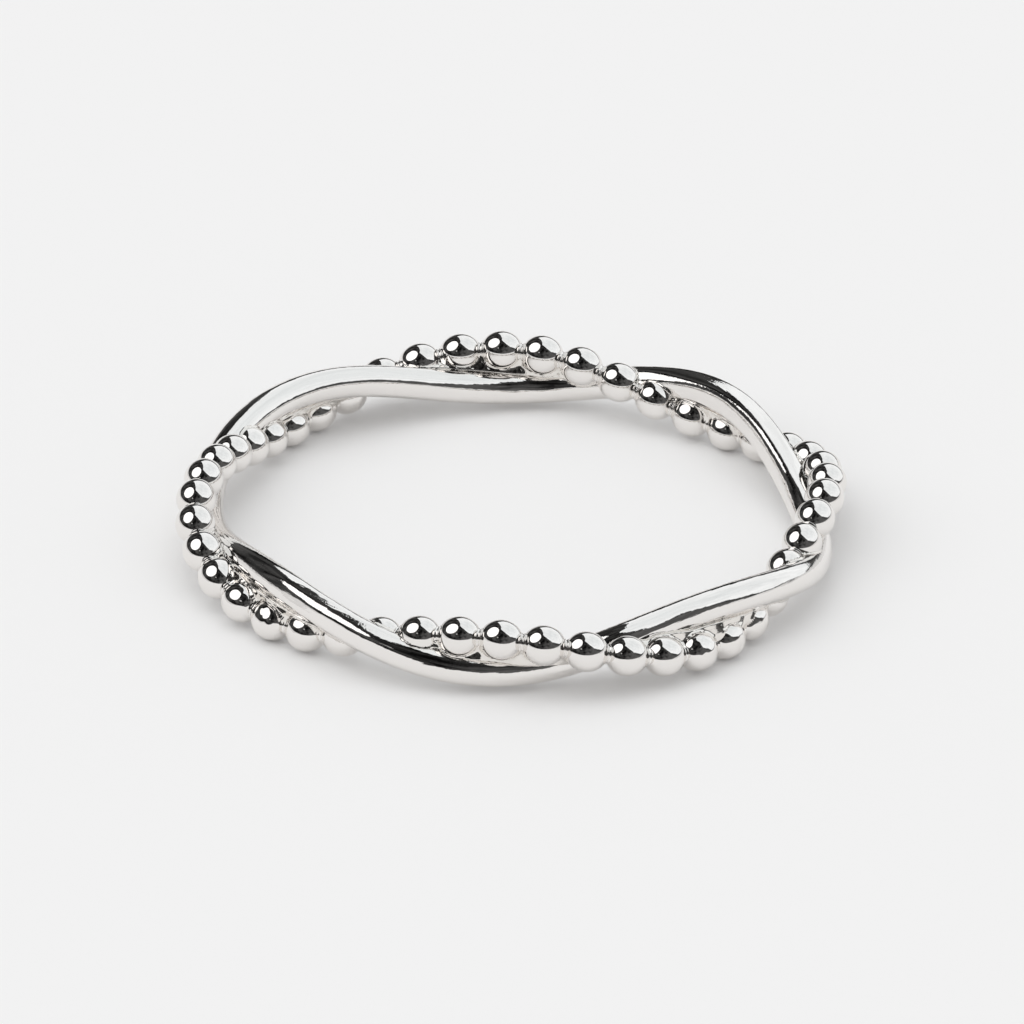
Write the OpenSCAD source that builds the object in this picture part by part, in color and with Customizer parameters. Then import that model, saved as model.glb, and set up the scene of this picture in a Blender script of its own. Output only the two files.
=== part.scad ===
// Twisted finger ring: a smooth round strand and a strand of beads, wound round
// each other like a two-strand rope whose ends meet, all in one piece of metal.
// The ring lies on its side. Z runs along the axis of the finger hole, and the
// lowest bead touches Z = 0. Angles are seen from above, anticlockwise from +X.

/* [Ring] */
// Inside diameter, where the finger goes
inside_d = 17.3; // [14:0.1:22]
// Full turns that the strands make round each other in one circuit
twists = 4; // [3:1:6]
// Angle at which one of the runs of beads lies on top
crest_angle = -1.3; // [-45:0.1:45]

/* [Beaded strand] */
// Diameter of a bead
bead_d = 1.25; // [1.1:0.01:1.3]
// Length of a bead along the strand, a little more than the spacing of the beads
bead_length = 1.38; // [1.3:0.01:1.45]
// Number of beads in the circuit
bead_count = 47; // [44:1:49]
// Angle of the first bead
first_bead = 245; // [0:0.5:360]
// Diameter of the neck between two beads
neck_d = 0.56; // [0.4:0.01:0.8]
// Rise and fall of the strand from its middle height
bead_rise = 0.61; // [0.5:0.01:0.7]
// Swing of the strand outwards and inwards from its middle radius
bead_swing = 0.42; // [0.3:0.01:0.5]

/* [Smooth strand] */
// Diameter of the round strand
smooth_d = 1.02; // [0.9:0.01:1.2]
// Rise and fall of the strand from its middle height
smooth_rise = 0.57; // [0.45:0.01:0.6]
// Swing of the strand outwards and inwards from its middle radius
smooth_swing = 0.31; // [0.2:0.01:0.4]

/* [Solder] */
// Thickness of the solder that fills the groove between the strands
solder_d = 0.5; // [0.3:0.01:0.6]

/* [Hidden] */
bead_facets = 32;
smooth_sides = 16;
smooth_sections = 96;
solder_sides = 8;
solder_sections = 72;
// A neck starts inside its bead, short of the bead's centre
neck_root = bead_d / 4;
// Both strands reach in as far as the same inside circle
bead_mid_r = inside_d / 2 + bead_d / 2 + bead_swing;
smooth_mid_r = inside_d / 2 + smooth_d / 2 + smooth_swing;

// Where the twist stands at an angle: at 90 the beads are on top, at 0 outermost
function turn_at(angle) = 90 - twists * (angle - crest_angle);

// A point on the centre line of a strand, which winds round a circle of radius mid_r
function strand_point(angle, turn, mid_r, swing, rise) =
    let (r = mid_r + swing * cos(turn))
    [r * cos(angle), r * sin(angle), rise * sin(turn)];

function bead_point(angle) =
    strand_point(angle, turn_at(angle), bead_mid_r, bead_swing, bead_rise);

// The smooth strand is always on the other side of the twist
function smooth_point(angle) =
    strand_point(angle, turn_at(angle) + 180, smooth_mid_r, smooth_swing, smooth_rise);

// The solder lies between the two surfaces that face each other
function solder_point(angle) =
    (bead_point(angle) * smooth_d + smooth_point(angle) * bead_d) / (bead_d + smooth_d);

// The beads are evenly spaced along the strand, so its length is run out in small steps
step_angle = 0.5;
length_at_angle = [
    for (angle = 0, run = 0; angle <= 360; angle = angle + step_angle,
         run = run + norm(bead_point(angle) - bead_point(angle - step_angle)))
        [angle, run]
];
angle_at_length = [for (row = length_at_angle) [row[1], row[0]]];
strand_length = lookup(360, length_at_angle);
first_run = lookup(first_bead, length_at_angle);
bead_centres = [
    for (i = [0 : bead_count - 1])
        let (run = (first_run + i * strand_length / bead_count) % strand_length)
        bead_point(lookup(run, angle_at_length))
];

// Height of the middle of the twist, which puts the lowest bead on the surface
middle_z = bead_d / 2 - min([for (centre = bead_centres) centre.z]);

// A closed round tube through a loop of centres that runs round the Z axis
module closed_tube(centres, d, sides) {
    count = len(centres);
    points = [
        for (i = [0 : count - 1])
            let (
                centre = centres[i],
                along = centres[(i + 1) % count] - centres[(i + count - 1) % count],
                across = cross([centre.x, centre.y, 0], along),
                up = across / norm(across),
                out = cross(along, up) / norm(along)
            )
            for (j = [0 : sides - 1])
                centre + d / 2 * (cos(360 * j / sides) * out + sin(360 * j / sides) * up)
    ];
    faces = [
        for (i = [0 : count - 1], j = [0 : sides - 1])
            let (next = (i + 1) % count, beside = (j + 1) % sides)
            [i * sides + j, i * sides + beside, next * sides + beside, next * sides + j]
    ];
    polyhedron(points, faces);
}

// The polished round wire
module smooth_strand() {
    closed_tube(
        [for (i = [0 : smooth_sections - 1]) smooth_point(360 * i / smooth_sections)],
        smooth_d, smooth_sides);
}

// Turns what stands along Z to point along a direction
module pointing(along) {
    rotate([0, acos(along.z / norm(along)), atan2(along.y, along.x)]) children();
}

// A bead, a little longer along the strand than it is thick
module bead(centre, along) {
    translate(centre)
        pointing(along)
            scale([1, 1, bead_length / bead_d])
                sphere(d = bead_d, $fn = bead_facets);
}

// The short neck that joins a bead to the next bead
module neck(centre, next_centre) {
    translate(centre)
        pointing(next_centre - centre)
            translate([0, 0, neck_root])
                cylinder(d = neck_d, h = norm(next_centre - centre) - 2 * neck_root, $fn = bead_facets);
}

// The beads all the way round
module beaded_strand() {
    for (i = [0 : bead_count - 1]) {
        before = bead_centres[(i + bead_count - 1) % bead_count];
        after = bead_centres[(i + 1) % bead_count];
        bead(bead_centres[i], after - before);
        neck(bead_centres[i], after);
    }
}

// The solder that joins the strands all the way round
module solder_seam() {
    closed_tube(
        [for (i = [0 : solder_sections - 1]) solder_point(360 * i / solder_sections)],
        solder_d, solder_sides);
}

// The whole ring is one piece of metal
module ring() {
    color("silver")
        translate([0, 0, middle_z]) {
            smooth_strand();
            beaded_strand();
            solder_seam();
        }
}

ring();
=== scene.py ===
import math

import bpy
import numpy as np
from mathutils import Matrix, Vector


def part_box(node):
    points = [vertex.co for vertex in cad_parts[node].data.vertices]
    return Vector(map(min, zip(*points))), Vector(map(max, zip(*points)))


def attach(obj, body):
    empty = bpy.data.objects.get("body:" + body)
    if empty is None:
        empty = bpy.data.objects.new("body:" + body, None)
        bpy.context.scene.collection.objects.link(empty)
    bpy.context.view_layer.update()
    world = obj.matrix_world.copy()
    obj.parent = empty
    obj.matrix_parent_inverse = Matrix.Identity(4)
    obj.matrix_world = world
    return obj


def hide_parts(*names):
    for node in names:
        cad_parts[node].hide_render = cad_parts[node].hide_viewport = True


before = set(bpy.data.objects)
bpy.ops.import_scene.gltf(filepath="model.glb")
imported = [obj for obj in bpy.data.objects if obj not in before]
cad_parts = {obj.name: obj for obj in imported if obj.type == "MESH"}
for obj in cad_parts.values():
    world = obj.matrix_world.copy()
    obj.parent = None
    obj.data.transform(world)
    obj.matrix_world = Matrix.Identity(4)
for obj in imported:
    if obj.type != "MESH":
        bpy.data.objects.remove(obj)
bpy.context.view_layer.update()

# Camera
# A long lens, straight in front of the ring and looking down on it at a slant, so that the
# finger hole shows as a wide oval. The camera is turned a little about its own axis.
MM = 0.001
ring_low, ring_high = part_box("ring")
middle_z = (ring_low[2] + ring_high[2]) / 2
look_at = Vector((0, 0, middle_z))
camera_distance = 440.4 * MM
camera_height = math.radians(27.73)
camera_roll = math.radians(1.18)

camera = bpy.data.objects.new("camera", bpy.data.cameras.new("camera"))
camera.data.sensor_width = 36
camera.data.lens = 496.2
camera.data.shift_x = 0.0005
camera.data.shift_y = -0.0017
back = Vector((0, -math.cos(camera_height), math.sin(camera_height)))
turned = back.to_track_quat("Z", "Y").to_matrix() @ Matrix.Rotation(camera_roll, 3, "Z")
camera_place = look_at + back * camera_distance
camera.matrix_world = Matrix.LocRotScale(camera_place, turned.to_quaternion(), None)
bpy.context.scene.collection.objects.link(camera)
bpy.context.scene.camera = camera


# Table
# A sheet of matt white card on a table. It runs out to the horizon, and its front edge curls
# up, which the beads show as a bright floor that climbs a little on the camera's side. Card
# without a coating scatters light evenly, so it shows soft shadows and mirrors nothing.
def linear(hex_colour):
    """Turns an sRGB colour such as F0F0F0 into the linear one that the shaders use."""
    parts = [int(hex_colour[i:i + 2], 16) / 255 for i in (0, 2, 4)]
    return tuple(c / 12.92 if c < 0.04045 else ((c + 0.055) / 1.055) ** 2.4 for c in parts) + (1,)


def add(tree, kind, inputs=None, **settings):
    """Adds a node. An input is given by name or number, as a value or as another node's output."""
    node = tree.nodes.new(kind)
    for name, value in settings.items():
        setattr(node, name, value)
    for key, value in (inputs or {}).items():
        if isinstance(value, bpy.types.NodeSocket):
            tree.links.new(value, node.inputs[key])
        else:
            node.inputs[key].default_value = value
    return node


def new_piece(name, points, faces, material):
    """An object at the origin from plain points and faces."""
    mesh = bpy.data.meshes.new(name)
    mesh.from_pydata(points, [], faces)
    mesh.materials.append(material)
    piece = bpy.data.objects.new(name, mesh)
    bpy.context.scene.collection.objects.link(piece)
    return piece


card_half = 1.5
curl_start = 0.5
curl_reach = 0.35
curl_rise = 0.1
curl_shares = (0, 0.2, 0.4, 0.6, 0.8, 1)
card_paper = bpy.data.materials.new("matt white card")
card_paper.use_nodes = True
shader = card_paper.node_tree.nodes["Principled BSDF"]
shader.inputs["Base Color"].default_value = linear("F0F0F0")
shader.inputs["Roughness"].default_value = 0.9
shader.inputs["Specular IOR Level"].default_value = 0
profile = [(card_half, 0)]
for share in curl_shares:
    profile.append((-curl_start - curl_reach * share, curl_rise * share ** 2))
card_points = [(side, y, z) for y, z in profile for side in (card_half, -card_half)]
card_faces = [(2 * i, 2 * i + 1, 2 * i + 3, 2 * i + 2) for i in range(len(profile) - 1)]
card = new_piece("card", card_points, card_faces, card_paper)


# Lights
# A round lamp high on the left, a small one in front, and a wide white sheet on the right that
# leans over the ring. The room round them is dark above a pale strip at the level of the table,
# which the metal shows as black bands between the pale ones.
def towards(azimuth, elevation):
    """A direction from the ring. Azimuth 0 is straight behind it, and 90 to its right."""
    a, e = math.radians(azimuth), math.radians(elevation)
    return Vector((math.sin(a) * math.cos(e), math.cos(a) * math.cos(e), math.sin(e)))


def light_sheet(name, azimuth, elevation, distance, outline, middle, edge, unevenness=0):
    """A flat light that faces the ring, with one colour at its middle and one at its edge. Its
    outline is given at a distance of 1 from the ring. Unevenness gives it a few broad blotches."""
    glow = bpy.data.materials.new(name)
    glow.use_nodes = True
    nodes = glow.node_tree
    nodes.nodes.clear()
    place = add(nodes, "ShaderNodeTexCoord").outputs["Object"]
    out = add(nodes, "ShaderNodeVectorMath", {0: place}, operation="LENGTH").outputs["Value"]
    share = add(nodes, "ShaderNodeMapRange", {"Value": out, "From Max": distance},
                interpolation_type="SMOOTHSTEP")
    colour = add(nodes, "ShaderNodeMix", {"Factor": share.outputs[0]}, data_type="RGBA")
    colour.inputs["A"].default_value = middle + (1,)
    colour.inputs["B"].default_value = edge + (1,)
    blotches = add(nodes, "ShaderNodeTexNoise",
                   {"Vector": place, "Scale": blotches_across / distance, "Detail": 2})
    evenness = add(nodes, "ShaderNodeMapRange",
                   {"Value": blotches.outputs[0], "From Min": 0.3, "From Max": 0.7,
                    "To Min": 1 - unevenness, "To Max": 1 + unevenness})
    light = add(nodes, "ShaderNodeEmission",
                {"Color": colour.outputs["Result"], "Strength": evenness.outputs[0]})
    add(nodes, "ShaderNodeOutputMaterial", {"Surface": light.outputs[0]})
    corners = [(x * distance, y * distance, 0) for x, y in outline]
    sheet = new_piece(name, corners, [range(len(corners))], glow)
    direction = towards(azimuth, elevation)
    facing_ring = (-direction).to_track_quat("Z", "Y")
    sheet.matrix_world = Matrix.LocRotScale(direction * distance, facing_ring, None)
    sheet.visible_camera = False
    sheet.visible_diffuse = False


def oval(half_width, half_height, corners=48):
    """An oval outline whose half width and half height are angles in degrees."""
    x, y = math.tan(math.radians(half_width)), math.tan(math.radians(half_height))
    turns = [2 * math.pi * i / corners for i in range(corners)]
    return [(x * math.cos(t), y * math.sin(t)) for t in turns]


def outline_seen(azimuth, elevation, corners):
    """The outline of a sheet whose corners the ring sees at these azimuths and elevations."""
    facing = towards(azimuth, elevation)
    upright = (-facing).to_track_quat("Z", "Y").inverted()
    sights = [towards(*corner) for corner in corners]
    return [tuple(upright @ (sight / sight.dot(facing)))[:2] for sight in sights]


blotches_across = 4
# The direction of the white sheet's middle, and the directions in which the ring sees its corners
sheet_azimuth = 62
sheet_elevation = 60
sheet_corners = [(-11, 30), (-9, 45), (-8, 62), (-6, 78), (-40, 86), (180, 86),
                 (152, 79), (141, 68), (136, 56), (126, 38), (108, 25), (93, 13),
                 (75, 9), (55, 6), (32, 11), (16, 15), (6, 20)]
light_sheet("lamp", azimuth=-98, elevation=51, distance=0.6, outline=oval(27.5, 27),
            middle=(1.5, 1.5, 1.5), edge=(1.25, 1.25, 1.25))
light_sheet("white_sheet", sheet_azimuth, sheet_elevation, distance=0.9,
            outline=outline_seen(sheet_azimuth, sheet_elevation, sheet_corners),
            middle=(0.86, 0.9, 0.92), edge=(1.0, 1.03, 1.05), unevenness=0.08)
light_sheet("focus_lamp", azimuth=-155, elevation=39, distance=0.9, outline=oval(3.5, 3.5, 16),
            middle=(0.45, 0.45, 0.45), edge=(0.3, 0.3, 0.3))

# What the card gets is softer than the lamps look in the metal: light from all round, and lobes
# that each have an azimuth, an elevation, the angles from their middle where they start to fade
# and where they end, and a brightness
floor_fill = 0.735
floor_lamps = [(-112, 47, 20, 34, 0.95), (0, 90, 0, 35, 0.77)]

# What the metal mirrors past the lamps: the dark room, from its darkest corner to its palest
# thing, a glow on the wall in front on the right, and the strip, which fades out above the table
room_dark = 0.003
room_pale = 0.085
wall_glow = 0.05
glow_direction = towards(135, 10)
strip_brightness = 0.7
strip_fades_from = math.radians(5)
strip_fades_to = math.radians(8)

room = bpy.data.worlds.new("dark room")
room.use_nodes = True
room.cycles.sampling_method = "NONE"
nodes = room.node_tree
nodes.nodes.clear()
ray = add(nodes, "ShaderNodeLightPath").outputs
direction = add(nodes, "ShaderNodeTexCoord").outputs["Generated"]
clutter = add(nodes, "ShaderNodeTexNoise", {"Vector": direction, "Scale": 3, "Detail": 3})
shade = add(nodes, "ShaderNodeMapRange",
            {"Value": clutter.outputs[0], "From Min": 0.38, "From Max": 0.68,
             "To Min": room_dark, "To Max": room_pale})
wall = add(nodes, "ShaderNodeVectorMath", {0: direction, 1: glow_direction}, operation="DOT_PRODUCT")
wall = add(nodes, "ShaderNodeMapRange",
           {"Value": wall.outputs["Value"], "From Min": 0.8, "From Max": 0.95,
            "To Min": 0, "To Max": wall_glow})
shade = add(nodes, "ShaderNodeMath", {0: shade.outputs[0], 1: wall.outputs[0]}, operation="ADD")
level = add(nodes, "ShaderNodeSeparateXYZ", {0: direction}).outputs["Z"]
strip = add(nodes, "ShaderNodeMapRange",
            {"Value": level, "From Min": math.sin(strip_fades_from),
             "From Max": math.sin(strip_fades_to), "To Min": strip_brightness, "To Max": 0},
            interpolation_type="SMOOTHSTEP")
shade = add(nodes, "ShaderNodeMath", {0: shade.outputs[0], 1: strip.outputs[0]}, operation="ADD")
dark = add(nodes, "ShaderNodeBackground", {"Color": (1, 1, 1, 1), "Strength": shade.outputs[0]})
floor_light = add(nodes, "ShaderNodeValue")
floor_light.outputs[0].default_value = floor_fill
for azimuth, elevation, inner, outer, brightness in floor_lamps:
    facing = add(nodes, "ShaderNodeVectorMath", {0: direction, 1: towards(azimuth, elevation)},
                 operation="DOT_PRODUCT")
    lobe = add(nodes, "ShaderNodeMapRange",
               {"Value": facing.outputs["Value"], "From Min": math.cos(math.radians(outer)),
                "From Max": math.cos(math.radians(inner)), "To Max": brightness},
               interpolation_type="SMOOTHSTEP")
    floor_light = add(nodes, "ShaderNodeMath", {0: floor_light.outputs[0], 1: lobe.outputs[0]},
                      operation="ADD")
fill = add(nodes, "ShaderNodeBackground",
           {"Color": (1, 1, 1, 1), "Strength": floor_light.outputs[0]})
pale = add(nodes, "ShaderNodeBackground", {"Color": linear("F0F0F0"), "Strength": 1})
# Light that the card scatters meets the lobes. Past the card the camera sees the same white.
bounced = add(nodes, "ShaderNodeMath", {0: ray["Diffuse Depth"], 1: 0.5}, operation="GREATER_THAN")
lit = add(nodes, "ShaderNodeMixShader",
          {0: bounced.outputs[0], 1: dark.outputs[0], 2: fill.outputs[0]})
seen = add(nodes, "ShaderNodeMixShader",
           {0: ray["Is Camera Ray"], 1: lit.outputs[0], 2: pale.outputs[0]})
add(nodes, "ShaderNodeOutputWorld", {"Surface": seen.outputs[0]})
bpy.context.scene.world = room
bpy.context.scene.view_settings.view_transform = "Standard"


# Smooth strand
# Round silver wire, drawn, bent to the twist and polished by hand, so its mirror
# bands waver a little and carry fine lines. It is soldered to the beads all round.
inside_d = 17.3 * MM
twists = 4
crest_angle = math.radians(-1.3)
smooth_d = 1.02 * MM
smooth_rise = 0.57 * MM
smooth_swing = 0.31 * MM
smooth_sections = 1152
smooth_sides = 56
# Slight faults that bending left on the wire, with their angles in degrees. A ridge has the ring
# angle of its middle, half of how far it runs round the ring, its angle above outwards, how much
# that turns for each degree round the ring, how many such flats would go round the wire, and how
# deep they are. A bend has the ring angle of its middle, half of how far it runs, and how far the
# wire stands out there.
ridges = [(33.4, 33, 129, 0.635, 4, 0.03 * MM), (-122, 19, 43, -0.9, 6, 0.013 * MM),
          (-147, 12, 5, 0.2, 4, 0.009 * MM), (120, 28, 159, 0.37, 5, 0.012 * MM)]
bends = [(-69, 12, 0.18 * MM)]
scuff_size = 0.16 * MM
scuff_depth = 0.0022 * MM
# How wide the marks on the wire are, as a share of their length
drawn_out = 0.22
# Polishing left some patches a little duller than the rest
wire_roughness = 0.045
dull_roughness = 0.16
patch_size = 0.3 * MM


def strand_point(angle, strand_d, swing, rise, side):
    """Points on a strand's centre line. The two strands are on opposite sides of the twist."""
    turn = math.pi / 2 - twists * (angle - crest_angle) + side
    r = inside_d / 2 + strand_d / 2 + swing + swing * np.cos(turn)
    return np.stack([r * np.cos(angle), r * np.sin(angle), middle_z + rise * np.sin(turn)], axis=-1)


def even_turns(count):
    """The angles of one full turn in even steps."""
    return np.arange(count) * 2 * math.pi / count


def smooth_point(angle):
    return strand_point(angle, smooth_d, smooth_swing, smooth_rise, math.pi)


def closed_path(name, points):
    """A mesh of points joined one to the next by edges, and the last to the first."""
    mesh = bpy.data.meshes.new(name)
    count = len(points)
    mesh.from_pydata(points.tolist(), [(i, (i + 1) % count) for i in range(count)], [])
    return mesh


def node_tree(name, sizes):
    """A tree of geometry nodes with a named input for each size, and its input node's outputs."""
    tree = bpy.data.node_groups.new(name, "GeometryNodeTree")
    tree.interface.new_socket("Path", in_out="INPUT", socket_type="NodeSocketGeometry")
    kinds = {float: "NodeSocketFloat", int: "NodeSocketInt",
             bpy.types.Material: "NodeSocketMaterial"}
    for size, value in sizes.items():
        tree.interface.new_socket(size, in_out="INPUT", socket_type=kinds[type(value)])
    tree.interface.new_socket("Piece", in_out="OUTPUT", socket_type="NodeSocketGeometry")
    return tree, add(tree, "NodeGroupInput").outputs


def baked_piece(name, path, tree, sizes):
    """Runs the tree on the path and keeps what it makes as a plain mesh."""
    piece = bpy.data.objects.new(name, path)
    bpy.context.scene.collection.objects.link(piece)
    modifier = piece.modifiers.new(tree.name, "NODES")
    modifier.node_group = tree
    for socket in tree.interface.items_tree:
        if socket.in_out == "INPUT" and socket.name in sizes:
            modifier[socket.identifier] = sizes[socket.name]
    evaluated = bpy.context.evaluated_depsgraph_get()
    mesh = bpy.data.meshes.new_from_object(piece.evaluated_get(evaluated), depsgraph=evaluated)
    mesh.name = name
    piece.modifiers.clear()
    piece.data = mesh
    return piece


def polished_metal(name, colour, roughness, waviness, wave_size, grain, grain_size, place,
                   dents=None):
    """Polished metal. Its surface wavers by the waviness over a wave size and carries a fine grain
    of its own depth and size, all in metres. Dents can add a height in metres of their own."""
    metal = bpy.data.materials.new(name)
    metal.use_nodes = True
    nodes = metal.node_tree
    shader = nodes.nodes["Principled BSDF"]
    shader.inputs["Base Color"].default_value = linear(colour)
    shader.inputs["Metallic"].default_value = 1
    shader.inputs["Roughness"].default_value = roughness
    place = place(nodes)
    waves = add(nodes, "ShaderNodeTexNoise", {"Vector": place, "Scale": 1 / wave_size, "Detail": 2})
    lines = add(nodes, "ShaderNodeTexNoise", {"Vector": place, "Scale": 1 / grain_size, "Detail": 1})
    bumps = add(nodes, "ShaderNodeBump",
                {"Height": waves.outputs[0], "Distance": waviness, "Strength": 1})
    if dents:
        bumps = add(nodes, "ShaderNodeBump",
                    {"Height": dents(nodes), "Distance": 1, "Strength": 1,
                     "Normal": bumps.outputs[0]})
    fine = add(nodes, "ShaderNodeBump",
               {"Height": lines.outputs[0], "Distance": grain, "Strength": 1,
                "Normal": bumps.outputs[0]})
    nodes.links.new(fine.outputs[0], shader.inputs["Normal"])
    return metal


def in_place(nodes):
    return add(nodes, "ShaderNodeTexCoord").outputs["Object"]


def along_wire(nodes):
    """A place on the wire for patterns that are drawn out along its length and meet all round."""
    section = add(nodes, "ShaderNodeAttribute", attribute_name="section place").outputs["Vector"]
    return add(nodes, "ShaderNodeVectorMath",
               {0: in_place(nodes), 1: (drawn_out, drawn_out, 0), 2: section},
               operation="MULTIPLY_ADD").outputs[0]


def flats_and_scuffs(nodes):
    """Heights of the flats beside each ridge, of the bends, and of scuffs on the wire's crown."""
    place = in_place(nodes)
    ring = add(nodes, "ShaderNodeSeparateXYZ", {0: place}).outputs
    ring_angle = add(nodes, "ShaderNodeMath", {0: ring["Y"], 1: ring["X"]},
                     operation="ARCTAN2").outputs[0]
    section = add(nodes, "ShaderNodeAttribute", attribute_name="section place").outputs["Vector"]
    across = add(nodes, "ShaderNodeSeparateXYZ", {0: section}).outputs
    angle = add(nodes, "ShaderNodeMath", {0: across["Z"], 1: across["X"]},
                operation="ARCTAN2").outputs[0]
    scuffs = add(nodes, "ShaderNodeTexNoise", {"Vector": place, "Scale": 1 / scuff_size, "Detail": 2})
    crown = add(nodes, "ShaderNodeMapRange",
                {"Value": across["Z"], "From Min": 0, "From Max": smooth_d / 3,
                 "To Min": 0, "To Max": scuff_depth})
    total = add(nodes, "ShaderNodeMath", {0: scuffs.outputs[0], 1: crown.outputs[0]},
                operation="MULTIPLY")

    def hump(middle, half, flat_top, height):
        """The angle from the middle of a stretch, and a height that fades to 0 at its ends."""
        off = add(nodes, "ShaderNodeMath", {0: ring_angle, 1: math.radians(middle)},
                  operation="SUBTRACT")
        away = add(nodes, "ShaderNodeMath", {0: off.outputs[0]}, operation="ABSOLUTE")
        faded = add(nodes, "ShaderNodeMapRange",
                    {"Value": away.outputs[0], "From Min": math.radians(half) * flat_top,
                     "From Max": math.radians(half), "To Min": height, "To Max": 0},
                    interpolation_type="SMOOTHSTEP")
        return off.outputs[0], faded.outputs[0]

    for middle, half, ridge, turn, count, flats_depth in ridges:
        off, depth = hump(middle, half, 0.5, flats_depth)
        turned = add(nodes, "ShaderNodeMath", {0: off, 1: turn}, operation="MULTIPLY")
        from_ridge = add(nodes, "ShaderNodeMath", {0: angle, 1: turned.outputs[0]},
                         operation="SUBTRACT")
        phase = add(nodes, "ShaderNodeMath",
                    {0: from_ridge.outputs[0], 1: count, 2: -count * math.radians(ridge)},
                    operation="MULTIPLY_ADD")
        wave = add(nodes, "ShaderNodeMath", {0: phase.outputs[0]}, operation="COSINE")
        total = add(nodes, "ShaderNodeMath", {0: wave.outputs[0], 1: depth, 2: total.outputs[0]},
                    operation="MULTIPLY_ADD")
    for middle, half, rise in bends:
        height = hump(middle, half, 0, rise)[1]
        total = add(nodes, "ShaderNodeMath", {0: total.outputs[0], 1: height}, operation="ADD")
    return total.outputs[0]


# Long strokes of the polishing stick leave fine lines that run with the wire
wire_silver = polished_metal("hand polished silver wire", "F0EDEA", roughness=wire_roughness,
                             waviness=0.02 * MM, wave_size=0.4 * MM,
                             grain=0.0015 * MM, grain_size=0.05 * MM,
                             place=along_wire, dents=flats_and_scuffs)
nodes = wire_silver.node_tree
shader = nodes.nodes["Principled BSDF"]
patches = add(nodes, "ShaderNodeTexNoise",
              {"Vector": along_wire(nodes), "Scale": 1 / patch_size, "Detail": 3})
duller = add(nodes, "ShaderNodeMapRange",
             {"Value": patches.outputs[0], "From Min": 0.58, "From Max": 0.8,
              "To Min": wire_roughness, "To Max": dull_roughness})
nodes.links.new(duller.outputs[0], shader.inputs["Roughness"])

wire_sizes = {"Wire diameter": smooth_d, "Sides": smooth_sides, "Finish": wire_silver}
tree, given = node_tree("drawn wire", wire_sizes)
path = add(tree, "GeometryNodeMeshToCurve", {"Mesh": given["Path"]})
upright = add(tree, "GeometryNodeSetCurveNormal", {"Curve": path.outputs[0]}, mode="Z_UP")
radius = add(tree, "ShaderNodeMath", {0: given["Wire diameter"], 1: 0.5}, operation="MULTIPLY")
circle = add(tree, "GeometryNodeCurvePrimitiveCircle",
             {"Resolution": given["Sides"], "Radius": radius.outputs[0]})
section = add(tree, "GeometryNodeCaptureAttribute", domain="POINT")
section.capture_items.new("VECTOR", "Place")
tree.links.new(circle.outputs[0], section.inputs["Geometry"])
tree.links.new(add(tree, "GeometryNodeInputPosition").outputs[0], section.inputs["Place"])
wire = add(tree, "GeometryNodeCurveToMesh",
           {"Curve": upright.outputs[0], "Profile Curve": section.outputs["Geometry"]})
# Each point keeps its place in the section, outwards and up, for the wire's patterns
across = add(tree, "ShaderNodeSeparateXYZ", {0: section.outputs["Place"]}).outputs
up = add(tree, "ShaderNodeMath", {0: across["Y"], 1: -1}, operation="MULTIPLY")
upright_place = add(tree, "ShaderNodeCombineXYZ", {"X": across["X"], "Z": up.outputs[0]})
kept = add(tree, "GeometryNodeStoreNamedAttribute",
           {"Geometry": wire.outputs[0], "Name": "section place", "Value": upright_place.outputs[0]},
           data_type="FLOAT_VECTOR", domain="POINT")
smooth = add(tree, "GeometryNodeSetShadeSmooth", {0: kept.outputs[0]})
real = add(tree, "GeometryNodeRealizeInstances", {0: smooth.outputs[0]})
finished = add(tree, "GeometryNodeSetMaterial",
               {"Geometry": real.outputs[0], "Material": given["Finish"]})
add(tree, "NodeGroupOutput", {0: finished.outputs[0]})

smooth_path = closed_path("smooth path", smooth_point(even_turns(smooth_sections)))
smooth_strand = baked_piece("smooth_strand", smooth_path, tree, wire_sizes)
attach(smooth_strand, "root")
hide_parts("ring")


# Beaded strand
# Silver beads in one cast string, a little longer than they are thick, so that neighbours nearly
# touch round a short neck with two thin collars. Barrel polished to a full mirror. No two are
# quite round, so their highlights differ a little.
bead_d = 1.25 * MM
bead_length = 1.38 * MM
bead_count = 47
first_bead = math.radians(245)
collar_d = 0.62 * MM
neck_groove = 0.03 * MM
groove_spacing = 0.1 * MM
neck_half = 0.09 * MM
bead_rise = 0.61 * MM
bead_swing = 0.42 * MM
# Where filing dented the beads: the radius of the circle that they stand on, and for each run of
# them the ring angle of its middle and how far from there the dents end
dented_r = 9.7 * MM
dented_runs = [(math.radians(317), 3.2 * MM), (math.radians(222), 1.6 * MM)]
dent_size = 0.4 * MM
dent_depth = 0.06 * MM
bead_segments = 48
neck_segments = 24
neck_sides = 32
length_steps = 7200


def bead_point(angle):
    return strand_point(angle, bead_d, bead_swing, bead_rise, 0)


# The beads are evenly spaced along the strand, so its length is run out in small steps
fine_angles = first_bead + np.linspace(0, 2 * math.pi, length_steps + 1)
steps = np.linalg.norm(np.diff(bead_point(fine_angles), axis=0), axis=1)
run = np.concatenate([[0], np.cumsum(steps)])
bead_angles = np.interp(np.arange(bead_count) * run[-1] / bead_count, run, fine_angles)
bead_centres = bead_point(bead_angles)

bead_r = bead_d / 2
neck_r = collar_d / 2


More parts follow.
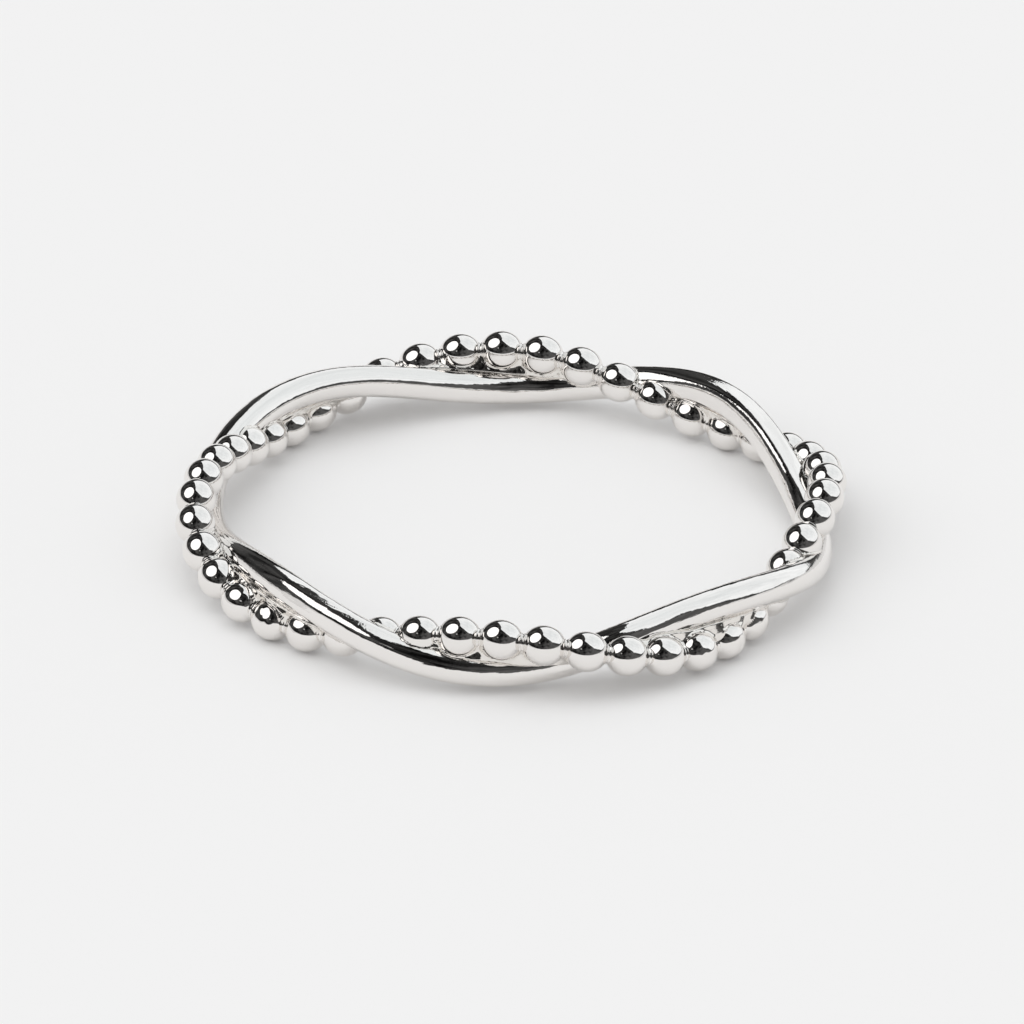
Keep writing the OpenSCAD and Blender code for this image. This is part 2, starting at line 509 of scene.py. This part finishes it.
def dented(nodes):
    """Heights of the dents that the beads have where the most solder was filed off them."""
    place = in_place(nodes)
    dents = add(nodes, "ShaderNodeTexNoise", {"Vector": place, "Scale": 1 / dent_size, "Detail": 1})
    total = 0
    for angle, reach in dented_runs:
        middle = Vector((dented_r * math.cos(angle), dented_r * math.sin(angle), middle_z))
        away = add(nodes, "ShaderNodeVectorMath", {0: place, 1: middle}, operation="DISTANCE")
        depth = add(nodes, "ShaderNodeMapRange",
                    {"Value": away.outputs["Value"], "From Min": reach / 2,
                     "From Max": reach, "To Min": dent_depth, "To Max": 0},
                    interpolation_type="SMOOTHSTEP").outputs[0]
        total = add(nodes, "ShaderNodeMath", {0: dents.outputs[0], 1: depth, 2: total},
                    operation="MULTIPLY_ADD").outputs[0]
    return total


# Tumbling smooths every bead the same way, so the mirror is even and has no lines
bead_silver = polished_metal("barrel polished cast silver", "F0EDEA", roughness=0.035,
                             waviness=0.012 * MM, wave_size=0.9 * MM,
                             grain=0.001 * MM, grain_size=0.15 * MM,
                             place=in_place, dents=dented)

bead_sizes = {"Bead diameter": bead_d, "Stretch": bead_length / bead_d,
              "Segments": bead_segments, "Collar diameter": collar_d,
              "Neck length": 2 * neck_half, "Groove": neck_groove,
              "Groove spacing": groove_spacing, "Neck sides": neck_sides,
              "Neck segments": neck_segments, "Finish": bead_silver}
tree, given = node_tree("bead string", bead_sizes)
half = add(tree, "ShaderNodeMath", {0: given["Bead diameter"], 1: 0.5}, operation="MULTIPLY")
rings = add(tree, "ShaderNodeMath", {0: given["Segments"], 1: 2}, operation="DIVIDE")
ball = add(tree, "GeometryNodeMeshUVSphere",
           {"Segments": given["Segments"], "Rings": rings.outputs[0], "Radius": half.outputs[0]})
ball = add(tree, "GeometryNodeSetShadeSmooth", {0: ball.outputs[0]})
longer = add(tree, "ShaderNodeCombineXYZ", {"X": 1, "Y": 1, "Z": given["Stretch"]})
ball = add(tree, "GeometryNodeTransform", {0: ball.outputs[0], "Scale": longer.outputs[0]})
string = add(tree, "GeometryNodeMeshToCurve", {"Mesh": given["Path"]})
along = add(tree, "GeometryNodeInputTangent")
turned = add(tree, "FunctionNodeAlignRotationToVector", {"Vector": along.outputs[0]}, axis="Z")
beads = add(tree, "GeometryNodeInstanceOnPoints",
            {"Points": string.outputs[0], "Instance": ball.outputs[0], "Rotation": turned.outputs[0]})

rod = add(tree, "GeometryNodeMeshCylinder",
          {"Vertices": given["Neck sides"], "Side Segments": given["Neck segments"], "Radius": 1,
           "Depth": given["Neck length"]}, fill_type="TRIANGLE_FAN")
place = add(tree, "GeometryNodeInputPosition").outputs[0]
height = add(tree, "ShaderNodeSeparateXYZ", {0: place}).outputs["Z"]
# The radius dips by the groove's depth at the middle and once every groove spacing
share = add(tree, "ShaderNodeMath", {0: height, 1: given["Groove spacing"]}, operation="DIVIDE")
phase = add(tree, "ShaderNodeMath", {0: share.outputs[0], 1: math.pi}, operation="MULTIPLY")
wave = add(tree, "ShaderNodeMath", {0: phase.outputs[0]}, operation="COSINE")
dip = add(tree, "ShaderNodeMath", {0: wave.outputs[0], 1: wave.outputs[0]}, operation="MULTIPLY")
cut = add(tree, "ShaderNodeMath", {0: dip.outputs[0], 1: given["Groove"]}, operation="MULTIPLY")
crest = add(tree, "ShaderNodeMath", {0: given["Collar diameter"], 1: 0.5}, operation="MULTIPLY")
wide = add(tree, "ShaderNodeMath", {0: crest.outputs[0], 1: cut.outputs[0]},
           operation="SUBTRACT").outputs[0]
scale = add(tree, "ShaderNodeCombineXYZ", {"X": wide, "Y": wide, "Z": 1})
shaped = add(tree, "ShaderNodeVectorMath", {0: place, 1: scale.outputs[0]}, operation="MULTIPLY")
neck = add(tree, "GeometryNodeSetPosition",
           {"Geometry": rod.outputs["Mesh"], "Position": shaped.outputs[0]})
neck = add(tree, "GeometryNodeSetShadeSmooth",
           {"Geometry": neck.outputs[0], "Selection": rod.outputs["Side"]})

ends = add(tree, "GeometryNodeInputMeshEdgeVertices")
gap = add(tree, "ShaderNodeVectorMath",
          {0: ends.outputs["Position 2"], 1: ends.outputs["Position 1"]}, operation="SUBTRACT")
kept = add(tree, "GeometryNodeCaptureAttribute", domain="EDGE")
kept.capture_items.new("VECTOR", "Gap")
tree.links.new(given["Path"], kept.inputs["Geometry"])
tree.links.new(gap.outputs[0], kept.inputs["Gap"])
between = add(tree, "GeometryNodeMeshToPoints", {"Mesh": kept.outputs["Geometry"]}, mode="EDGES")
across = add(tree, "FunctionNodeAlignRotationToVector", {"Vector": kept.outputs["Gap"]}, axis="Z")
necks = add(tree, "GeometryNodeInstanceOnPoints",
            {"Points": between.outputs[0], "Instance": neck.outputs[0], "Rotation": across.outputs[0]})

both = add(tree, "GeometryNodeJoinGeometry", {0: beads.outputs[0]})
tree.links.new(necks.outputs[0], both.inputs[0])
real = add(tree, "GeometryNodeRealizeInstances", {0: both.outputs[0]})
finished = add(tree, "GeometryNodeSetMaterial",
               {"Geometry": real.outputs[0], "Material": given["Finish"]})
add(tree, "NodeGroupOutput", {0: finished.outputs[0]})

bead_path = closed_path("bead centres", bead_centres)
beaded_strand = baked_piece("beaded_strand", bead_path, tree, bead_sizes)
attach(beaded_strand, "root")
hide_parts("ring")


# Solder
# Silver solder that ran into the groove between the strands. It fills the seam, climbs
# each bead a little way and stands as a thin web under the gaps between them. Its width and
# height waver, and in one place more of it ran over the beads and was filed off again.
solder_r = 0.3 * MM
web_r = 0.2 * MM
web_height = 0.26 * MM
creep = 0.08 * MM
# How much the seam's radius, the web's radius and the web's height waver, as shares of them
seam_wavers = 0.08
web_wavers = 0.15
height_wavers = 0.2
smear_angle = math.radians(315)
smear_reach = math.radians(8)
smear_rise = 0.17 * MM
solder_rows = 1128
solder_around = 80
# Each point starts this far out and comes in to the surface in this many steps
first_reach = 1.6 * MM
trace_steps = 80
# Where it hides in the strands the solder is sunk this deep, and from this share of blending
# with them on it isn't sunk at all
bury = 0.12 * MM
full_blend = 0.1


def waver(angle, slowest, fastest, seed):
    """Smooth noise round the ring, about 1 high, made of waves that each repeat in one circuit."""
    chance = np.random.default_rng(seed)
    total = np.zeros(angle.shape)
    for count in range(slowest, fastest):
        total = total + chance.normal() * np.cos(count * angle + chance.uniform(0, 2 * math.pi))
    return total / math.sqrt((fastest - slowest) / 2)


def solder_point(angle):
    """The seam lies between the two surfaces that face each other."""
    return (bead_point(angle) * smooth_d + smooth_point(angle) * bead_d) / (bead_d + smooth_d)


def to_wire(points, angle):
    """Distance to the wire's surface. The nearest angle is found in a few steps from a guess."""
    small = 1e-4
    for _ in range(3):
        centre = smooth_point(angle)
        along = (smooth_point(angle + small) - centre) / small
        angle = angle + ((points - centre) * along).sum(-1) / (along * along).sum(-1)
    return np.linalg.norm(points - smooth_point(angle), axis=-1) - smooth_d / 2


bead_axes = np.roll(bead_centres, -1, axis=0) - np.roll(bead_centres, 1, axis=0)
bead_axes = bead_axes / np.linalg.norm(bead_axes, axis=1, keepdims=True)


def to_beads(points, nearest):
    """Distance to the nearest beads and necks. Each bead is squeezed to a ball to find it."""
    found = np.full(points.shape[:-1], np.inf)
    squeeze = 1 - bead_d / bead_length
    for offset in (-1, 0, 1, 2):
        bead = (nearest + offset) % bead_count
        axis = bead_axes[bead]
        ball = points - bead_centres[bead]
        ball = ball - squeeze * (ball * axis).sum(-1)[..., None] * axis
        size = np.linalg.norm(ball, axis=-1)
        slope = ball / size[..., None]
        slope = slope - squeeze * (slope * axis).sum(-1)[..., None] * axis
        found = np.minimum(found, (size - bead_r) / np.linalg.norm(slope, axis=-1))
    for offset in (-1, 0, 1):
        start = bead_centres[(nearest + offset) % bead_count]
        end = bead_centres[(nearest + offset + 1) % bead_count]
        share = ((points - start) * (end - start)).sum(-1) / ((end - start) ** 2).sum(-1)
        on_axis = start + np.clip(share, 0, 1)[..., None] * (end - start)
        found = np.minimum(found, np.linalg.norm(points - on_axis, axis=-1) - neck_r)
    return found


def blended(a, b, reach):
    """The lower of two distances, eased where they are within reach of each other, and how much."""
    share = np.clip(1 - np.abs(a - b) / reach, 0, 1)
    return np.minimum(a, b) - reach / 4 * share ** 2, share


def loop_faces(rows, around):
    """Faces of a tube that closes on itself both ways: rows of points, each row once around."""
    row, side = np.meshgrid(np.arange(rows), np.arange(around), indexing="ij")
    next_row, next_side = (row + 1) % rows, (side + 1) % around
    corners = [row * around + side, next_row * around + side,
               next_row * around + next_side, row * around + next_side]
    return np.stack(corners, axis=-1).reshape(-1, 4)


row_angles, side_angles = np.meshgrid(even_turns(solder_rows), even_turns(solder_around),
                                      indexing="ij")
outward = np.stack([np.cos(side_angles) * np.cos(row_angles),
                    np.cos(side_angles) * np.sin(row_angles), np.sin(side_angles)], axis=-1)
seam = solder_point(row_angles)
to_string = bead_point(row_angles) - seam
to_string = to_string / np.linalg.norm(to_string, axis=-1, keepdims=True)
smear = np.exp(-((row_angles - smear_angle) / smear_reach) ** 2)
low_r = solder_r * (1 + seam_wavers * waver(row_angles, slowest=8, fastest=60, seed=3))
high_r = web_r * (1 + web_wavers * waver(row_angles, slowest=20, fastest=90, seed=4))
high_r = high_r + smear_rise * smear
height = web_height * (1 + height_wavers * waver(row_angles, slowest=20, fastest=90, seed=5))
turned_from_first = (row_angles - first_bead) % (2 * math.pi)
nearest = np.searchsorted(bead_angles - first_bead, turned_from_first, side="right") - 1

reach_out = np.full(row_angles.shape, first_reach)
for _ in range(trace_steps):
    points = seam + reach_out[..., None] * outward
    up = np.clip(((points - seam) * to_string).sum(-1), 0, height)
    web = np.linalg.norm(points - seam - up[..., None] * to_string, axis=-1)
    web = web - low_r - (high_r - low_r) * up / height
    wire_and_seam = blended(to_wire(points, row_angles), web, creep)[0]
    surface, share = blended(wire_and_seam, to_beads(points, nearest), creep)
    reach_out = reach_out - surface
# Where the web itself is the surface the solder shows, and where it isn't it hides in the strands
shows = np.maximum(share / full_blend, (surface - web) / full_blend / creep + 1)
reach_out = reach_out - bury * np.clip(1 - shows, 0, 1)
points = seam + reach_out[..., None] * outward

# It set with a rippled skin that breaks up what it mirrors, and it is a little yellower and duller
# than the strands
flowed_solder = polished_metal("flowed silver solder", "EBE7E2", roughness=0.07,
                               waviness=0.13 * MM, wave_size=0.85 * MM,
                               grain=0.0015 * MM, grain_size=0.06 * MM, place=in_place)
solder = new_piece("solder", points.reshape(-1, 3).tolist(),
                   loop_faces(solder_rows, solder_around).tolist(), flowed_solder)
solder.data.shade_smooth()
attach(solder, "root")
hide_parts("ring")
